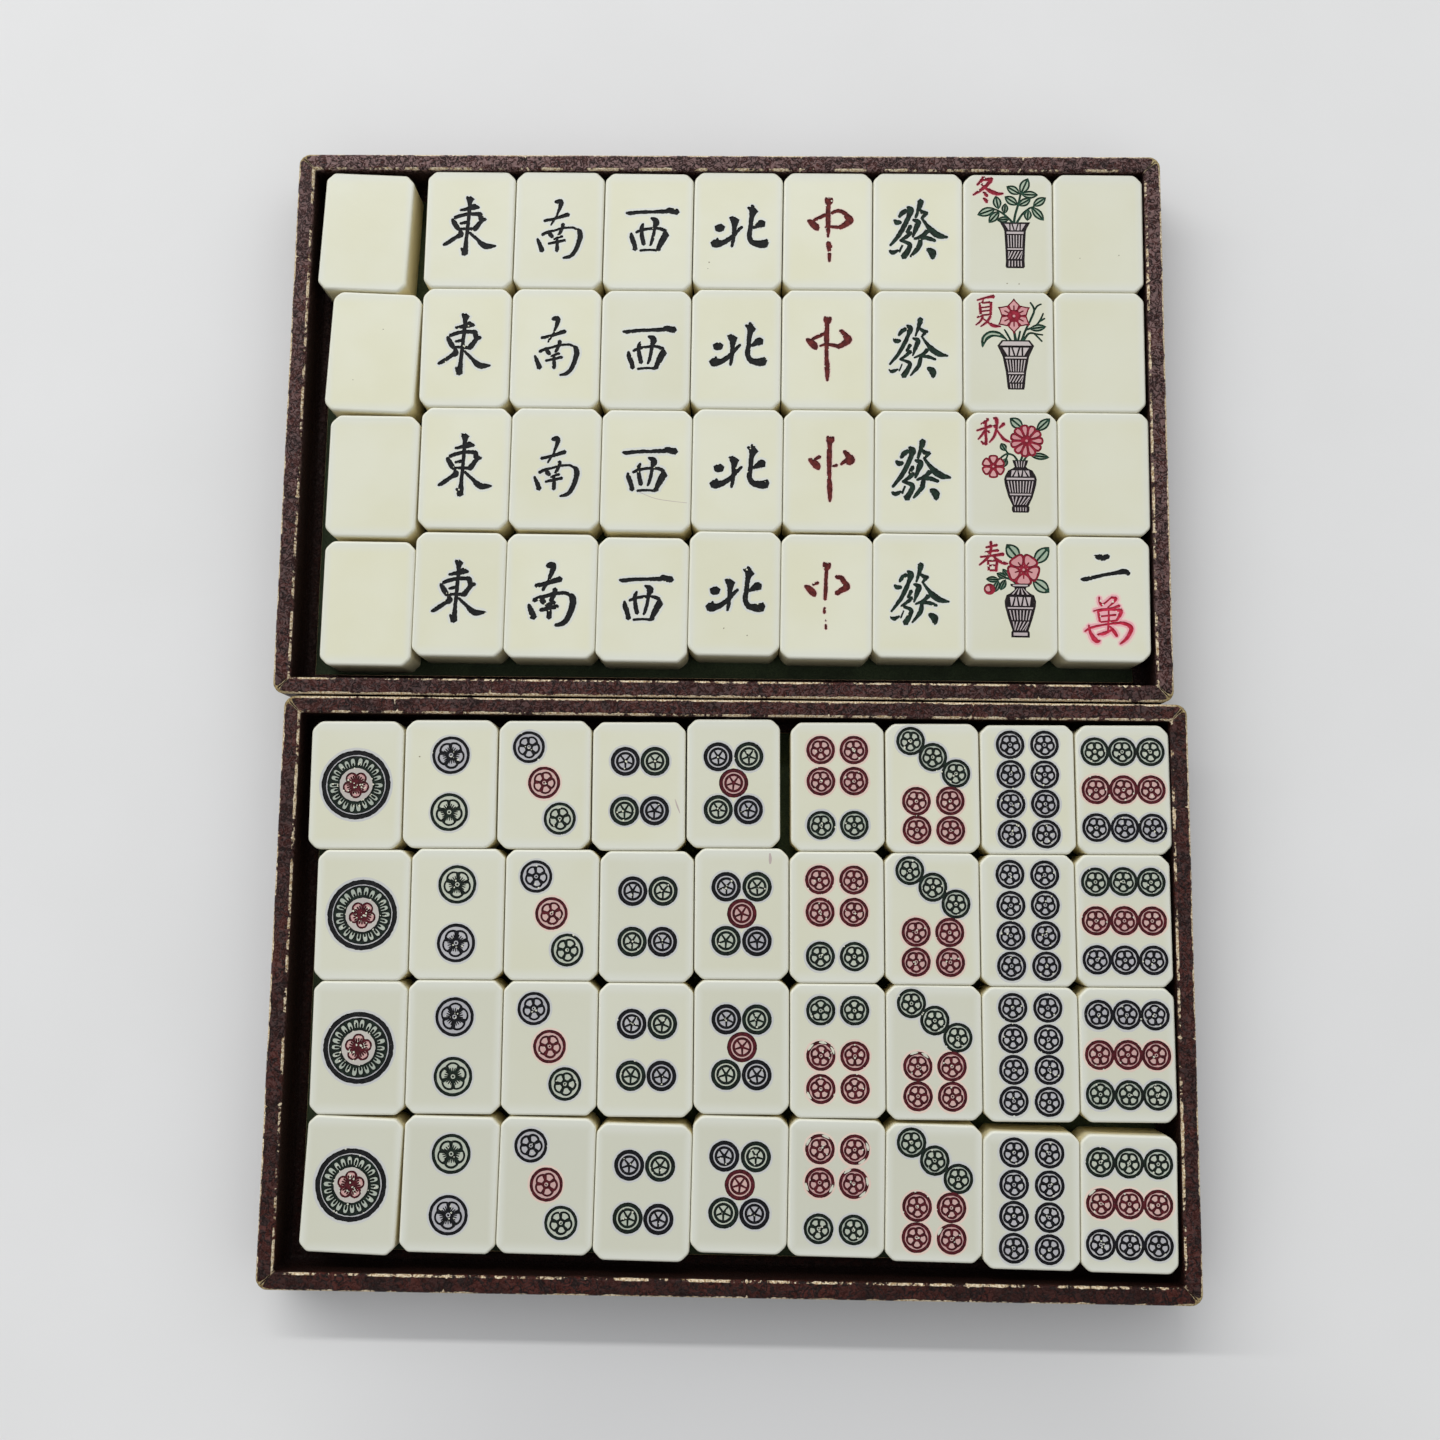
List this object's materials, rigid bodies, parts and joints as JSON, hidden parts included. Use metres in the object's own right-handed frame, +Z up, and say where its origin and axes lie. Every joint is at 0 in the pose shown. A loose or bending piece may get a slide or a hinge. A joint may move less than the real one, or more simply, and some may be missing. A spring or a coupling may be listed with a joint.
{
  "type": "mahjong set",
  "caption": "Mahjong tiles lying face up in two open leatherette-covered trays, each tray with a green-lined floor.",
  "frame": {"origin": "on the table, midway between the two trays", "axes": "+X along the rows of tiles to the right, +Y away from the player, +Z up"},
  "size_m": [0.2372, 0.298, 0.0173],
  "materials": {
    "board": "matte",
    "leatherette": "satin",
    "green_lining": "matte",
    "ivory_plastic": "satin"
  },
  "bodies": {
    "lower_tray": {"lower_tray_base_board": "board", "lower_tray_cover": "leatherette", "lower_tray_lining": "green_lining", "lower_tray_near_wall": "board", "lower_tray_right_wall": "board", "lower_tray_far_wall": "board", "lower_tray_left_wall": "board"},
    "upper_tray": {"upper_tray_base_board": "board", "upper_tray_cover": "leatherette", "upper_tray_lining": "green_lining", "upper_tray_near_wall": "board", "upper_tray_right_wall": "board", "upper_tray_far_wall": "board", "upper_tray_left_wall": "board"},
    "white_dragon_1": {"white_dragon_1": "ivory_plastic"},
    "white_dragon_2": {"white_dragon_2": "ivory_plastic"},
    "white_dragon_3": {"white_dragon_3": "ivory_plastic"},
    "white_dragon_4": {"white_dragon_4": "ivory_plastic"},
    "east_wind_1": {"east_wind_1": "ivory_plastic"},
    "east_wind_2": {"east_wind_2": "ivory_plastic"},
    "east_wind_3": {"east_wind_3": "ivory_plastic"},
    "east_wind_4": {"east_wind_4": "ivory_plastic"},
    "south_wind_1": {"south_wind_1": "ivory_plastic"},
    "south_wind_2": {"south_wind_2": "ivory_plastic"},
    "south_wind_3": {"south_wind_3": "ivory_plastic"},
    "south_wind_4": {"south_wind_4": "ivory_plastic"},
    "west_wind_1": {"west_wind_1": "ivory_plastic"},
    "west_wind_2": {"west_wind_2": "ivory_plastic"},
    "west_wind_3": {"west_wind_3": "ivory_plastic"},
    "west_wind_4": {"west_wind_4": "ivory_plastic"},
    "north_wind_1": {"north_wind_1": "ivory_plastic"},
    "north_wind_2": {"north_wind_2": "ivory_plastic"},
    "north_wind_3": {"north_wind_3": "ivory_plastic"},
    "north_wind_4": {"north_wind_4": "ivory_plastic"},
    "red_dragon_1": {"red_dragon_1": "ivory_plastic"},
    "red_dragon_2": {"red_dragon_2": "ivory_plastic"},
    "red_dragon_3": {"red_dragon_3": "ivory_plastic"},
    "red_dragon_4": {"red_dragon_4": "ivory_plastic"},
    "green_dragon_1": {"green_dragon_1": "ivory_plastic"},
    "green_dragon_2": {"green_dragon_2": "ivory_plastic"},
    "green_dragon_3": {"green_dragon_3": "ivory_plastic"},
    "green_dragon_4": {"green_dragon_4": "ivory_plastic"},
    "season_winter": {"season_winter": "ivory_plastic"},
    "season_summer": {"season_summer": "ivory_plastic"},
    "season_autumn": {"season_autumn": "ivory_plastic"},
    "season_spring": {"season_spring": "ivory_plastic"},
    "spare_blank_1": {"spare_blank_1": "ivory_plastic"},
    "spare_blank_2": {"spare_blank_2": "ivory_plastic"},
    "spare_blank_3": {"spare_blank_3": "ivory_plastic"},
    "two_of_characters": {"two_of_characters": "ivory_plastic"},
    "one_of_dots": {"one_of_dots": "ivory_plastic"},
    "two_of_dots": {"two_of_dots": "ivory_plastic"},
    "three_of_dots": {"three_of_dots": "ivory_plastic"},
    "four_of_dots": {"four_of_dots": "ivory_plastic"},
    "five_of_dots": {"five_of_dots": "ivory_plastic"},
    "six_of_dots": {"six_of_dots": "ivory_plastic"},
    "seven_of_dots": {"seven_of_dots": "ivory_plastic"},
    "eight_of_dots": {"eight_of_dots": "ivory_plastic"},
    "nine_of_dots": {"nine_of_dots": "ivory_plastic"}
  },
  "joints": [
    {"name": "upper_tray_lift", "type": "slide", "parent": "lower_tray", "child": "upper_tray", "axis": [0, 0, 1], "range_m": [0, 0.06]},
    {"name": "white_dragon_1_lift", "type": "slide", "parent": "upper_tray", "child": "white_dragon_1", "axis": [0, 0, 1], "range_m": [0, 0.04]},
    {"name": "white_dragon_2_lift", "type": "slide", "parent": "upper_tray", "child": "white_dragon_2", "axis": [0, 0, 1], "range_m": [0, 0.04]},
    {"name": "white_dragon_3_lift", "type": "slide", "parent": "upper_tray", "child": "white_dragon_3", "axis": [0, 0, 1], "range_m": [0, 0.04]},
    {"name": "white_dragon_4_lift", "type": "slide", "parent": "upper_tray", "child": "white_dragon_4", "axis": [0, 0, 1], "range_m": [0, 0.04]},
    {"name": "east_wind_1_lift", "type": "slide", "parent": "upper_tray", "child": "east_wind_1", "axis": [0, 0, 1], "range_m": [0, 0.04]},
    {"name": "east_wind_2_lift", "type": "slide", "parent": "upper_tray", "child": "east_wind_2", "axis": [0, 0, 1], "range_m": [0, 0.04]},
    {"name": "east_wind_3_lift", "type": "slide", "parent": "upper_tray", "child": "east_wind_3", "axis": [0, 0, 1], "range_m": [0, 0.04]},
    {"name": "east_wind_4_lift", "type": "slide", "parent": "upper_tray", "child": "east_wind_4", "axis": [0, 0, 1], "range_m": [0, 0.04]},
    {"name": "south_wind_1_lift", "type": "slide", "parent": "upper_tray", "child": "south_wind_1", "axis": [0, 0, 1], "range_m": [0, 0.04]},
    {"name": "south_wind_2_lift", "type": "slide", "parent": "upper_tray", "child": "south_wind_2", "axis": [0, 0, 1], "range_m": [0, 0.04]},
    {"name": "south_wind_3_lift", "type": "slide", "parent": "upper_tray", "child": "south_wind_3", "axis": [0, 0, 1], "range_m": [0, 0.04]},
    {"name": "south_wind_4_lift", "type": "slide", "parent": "upper_tray", "child": "south_wind_4", "axis": [0, 0, 1], "range_m": [0, 0.04]},
    {"name": "west_wind_1_lift", "type": "slide", "parent": "upper_tray", "child": "west_wind_1", "axis": [0, 0, 1], "range_m": [0, 0.04]},
    {"name": "west_wind_2_lift", "type": "slide", "parent": "upper_tray", "child": "west_wind_2", "axis": [0, 0, 1], "range_m": [0, 0.04]},
    {"name": "west_wind_3_lift", "type": "slide", "parent": "upper_tray", "child": "west_wind_3", "axis": [0, 0, 1], "range_m": [0, 0.04]},
    {"name": "west_wind_4_lift", "type": "slide", "parent": "upper_tray", "child": "west_wind_4", "axis": [0, 0, 1], "range_m": [0, 0.04]},
    {"name": "north_wind_1_lift", "type": "slide", "parent": "upper_tray", "child": "north_wind_1", "axis": [0, 0, 1], "range_m": [0, 0.04]},
    {"name": "north_wind_2_lift", "type": "slide", "parent": "upper_tray", "child": "north_wind_2", "axis": [0, 0, 1], "range_m": [0, 0.04]},
    {"name": "north_wind_3_lift", "type": "slide", "parent": "upper_tray", "child": "north_wind_3", "axis": [0, 0, 1], "range_m": [0, 0.04]},
    {"name": "north_wind_4_lift", "type": "slide", "parent": "upper_tray", "child": "north_wind_4", "axis": [0, 0, 1], "range_m": [0, 0.04]},
    {"name": "red_dragon_1_lift", "type": "slide", "parent": "upper_tray", "child": "red_dragon_1", "axis": [0, 0, 1], "range_m": [0, 0.04]},
    {"name": "red_dragon_2_lift", "type": "slide", "parent": "upper_tray", "child": "red_dragon_2", "axis": [0, 0, 1], "range_m": [0, 0.04]},
    {"name": "red_dragon_3_lift", "type": "slide", "parent": "upper_tray", "child": "red_dragon_3", "axis": [0, 0, 1], "range_m": [0, 0.04]},
    {"name": "red_dragon_4_lift", "type": "slide", "parent": "upper_tray", "child": "red_dragon_4", "axis": [0, 0, 1], "range_m": [0, 0.04]},
    {"name": "green_dragon_1_lift", "type": "slide", "parent": "upper_tray", "child": "green_dragon_1", "axis": [0, 0, 1], "range_m": [0, 0.04]},
    {"name": "green_dragon_2_lift", "type": "slide", "parent": "upper_tray", "child": "green_dragon_2", "axis": [0, 0, 1], "range_m": [0, 0.04]},
    {"name": "green_dragon_3_lift", "type": "slide", "parent": "upper_tray", "child": "green_dragon_3", "axis": [0, 0, 1], "range_m": [0, 0.04]},
    {"name": "green_dragon_4_lift", "type": "slide", "parent": "upper_tray", "child": "green_dragon_4", "axis": [0, 0, 1], "range_m": [0, 0.04]},
    {"name": "season_winter_lift", "type": "slide", "parent": "upper_tray", "child": "season_winter", "axis": [0, 0, 1], "range_m": [0, 0.04]},
    {"name": "season_summer_lift", "type": "slide", "parent": "upper_tray", "child": "season_summer", "axis": [0, 0, 1], "range_m": [0, 0.04]},
    {"name": "season_autumn_lift", "type": "slide", "parent": "upper_tray", "child": "season_autumn", "axis": [0, 0, 1], "range_m": [0, 0.04]},
    {"name": "season_spring_lift", "type": "slide", "parent": "upper_tray", "child": "season_spring", "axis": [0, 0, 1], "range_m": [0, 0.04]},
    {"name": "spare_blank_1_lift", "type": "slide", "parent": "upper_tray", "child": "spare_blank_1", "axis": [0, 0, 1], "range_m": [0, 0.04]},
    {"name": "spare_blank_2_lift", "type": "slide", "parent": "upper_tray", "child": "spare_blank_2", "axis": [0, 0, 1], "range_m": [0, 0.04]},
    {"name": "spare_blank_3_lift", "type": "slide", "parent": "upper_tray", "child": "spare_blank_3", "axis": [0, 0, 1], "range_m": [0, 0.04]},
    {"name": "two_of_characters_lift", "type": "slide", "parent": "upper_tray", "child": "two_of_characters", "axis": [0, 0, 1], "range_m": [0, 0.04]},
    {"name": "one_of_dots_lift", "type": "slide", "parent": "lower_tray", "child": "one_of_dots", "axis": [0, 0, 1], "range_m": [0, 0.04]},
    {"name": "two_of_dots_lift", "type": "slide", "parent": "lower_tray", "child": "two_of_dots", "axis": [0, 0, 1], "range_m": [0, 0.04]},
    {"name": "three_of_dots_lift", "type": "slide", "parent": "lower_tray", "child": "three_of_dots", "axis": [0, 0, 1], "range_m": [0, 0.04]},
    {"name": "four_of_dots_lift", "type": "slide", "parent": "lower_tray", "child": "four_of_dots", "axis": [0, 0, 1], "range_m": [0, 0.04]},
    {"name": "five_of_dots_lift", "type": "slide", "parent": "lower_tray", "child": "five_of_dots", "axis": [0, 0, 1], "range_m": [0, 0.04]},
    {"name": "six_of_dots_lift", "type": "slide", "parent": "lower_tray", "child": "six_of_dots", "axis": [0, 0, 1], "range_m": [0, 0.04]},
    {"name": "seven_of_dots_lift", "type": "slide", "parent": "lower_tray", "child": "seven_of_dots", "axis": [0, 0, 1], "range_m": [0, 0.04]},
    {"name": "eight_of_dots_lift", "type": "slide", "parent": "lower_tray", "child": "eight_of_dots", "axis": [0, 0, 1], "range_m": [0, 0.04]},
    {"name": "nine_of_dots_lift", "type": "slide", "parent": "lower_tray", "child": "nine_of_dots", "axis": [0, 0, 1], "range_m": [0, 0.04]}
  ]
}
